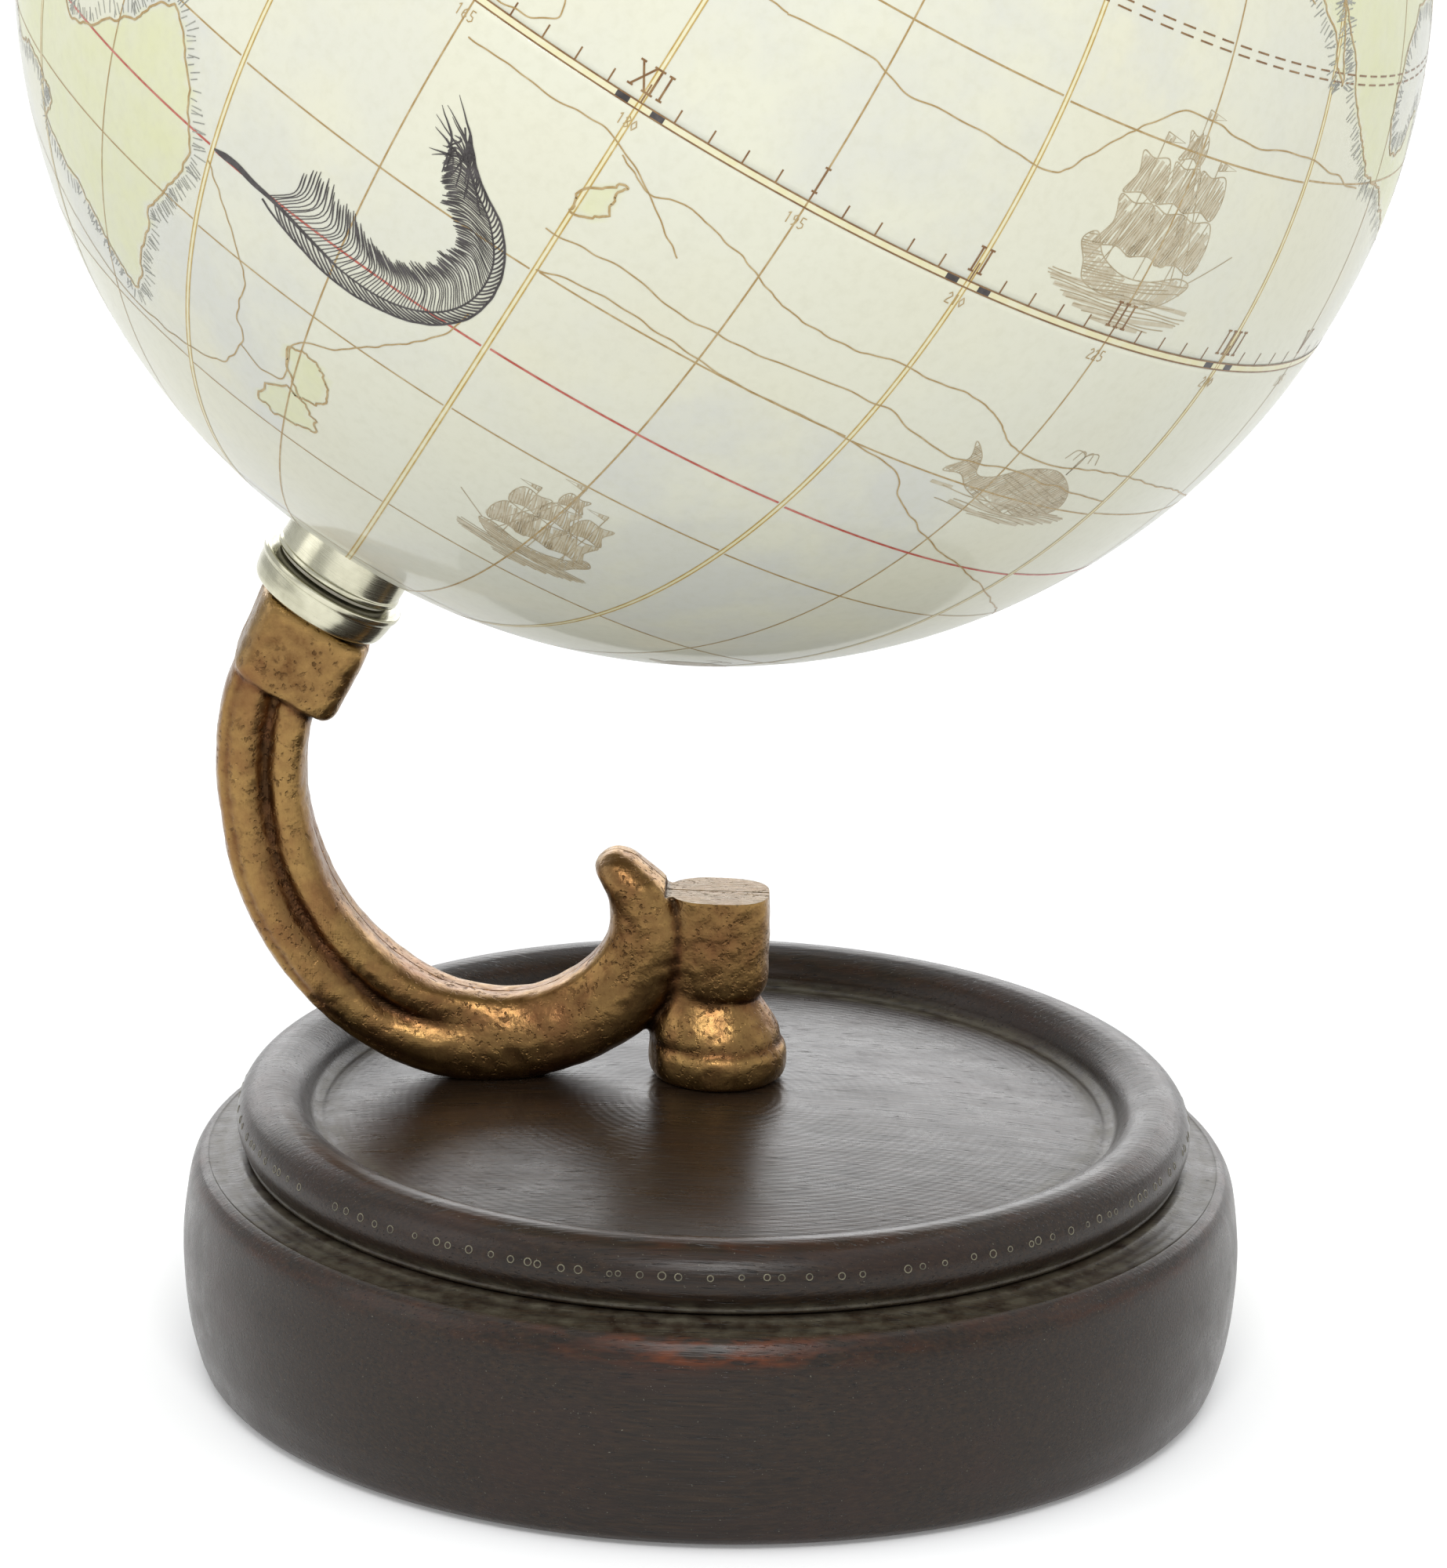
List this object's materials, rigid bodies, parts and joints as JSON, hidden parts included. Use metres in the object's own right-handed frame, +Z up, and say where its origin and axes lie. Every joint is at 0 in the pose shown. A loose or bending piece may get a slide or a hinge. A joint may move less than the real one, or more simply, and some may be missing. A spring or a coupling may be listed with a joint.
{
  "type": "desktop globe",
  "caption": "Printed ball that spins on a tilted axle, carried from below by a curved cast bronze arm on a turned round wooden base with a felt underside.",
  "frame": {"origin": "middle of the felt's underside, on the base's axis", "axes": "+Z up; the axle leans 30 degrees from +Z towards +X; the arm stands at -X in a plane parallel to XZ; -Y faces the viewer"},
  "size_m": [0.2029, 0.203, 0.3139],
  "materials": {
    "base_wood": "dark stained turned hardwood, waxed to a satin sheen",
    "felt": "dark green pressed felt",
    "steel": "zinc-plated steel fixings and axle",
    "arm_bronze": "cast bronze, pitted, burnished and waxed",
    "collar_metal": "turned and polished pale metal",
    "nylon": "natural nylon",
    "globe_print": "aged ivory map print under a gloss clear coat"
  },
  "bodies": {
    "stand": {"base_drum": "base_wood", "base_tier": "base_wood", "felt_pad": "felt", "tier_screw_1": "steel", "tier_screw_2": "steel", "tier_screw_3": "steel", "arm_bolt": "steel", "arm_bolt_washer": "steel", "belly_screw": "steel", "belly_screw_washer": "steel", "arm_front_half": "arm_bronze", "arm_rear_half": "arm_bronze", "axle_rod": "steel", "axle_lock_nut": "steel", "collar_ring": "collar_metal", "thrust_washer": "nylon", "top_washer": "steel", "top_spring_washer": "steel", "north_finial": "collar_metal"},
    "globe": {"globe_south_half": "globe_print", "globe_north_half": "globe_print", "equator_ring": "nylon", "globe_collar": "collar_metal", "south_bush": "nylon", "north_bush": "nylon"}
  },
  "joints": [
    {"name": "globe_spin", "type": "hinge", "parent": "stand", "child": "globe", "pos_m": [-0.003, 0.01, 0.211], "axis": [0.5, 0, 0.866], "continuous": true}
  ]
}
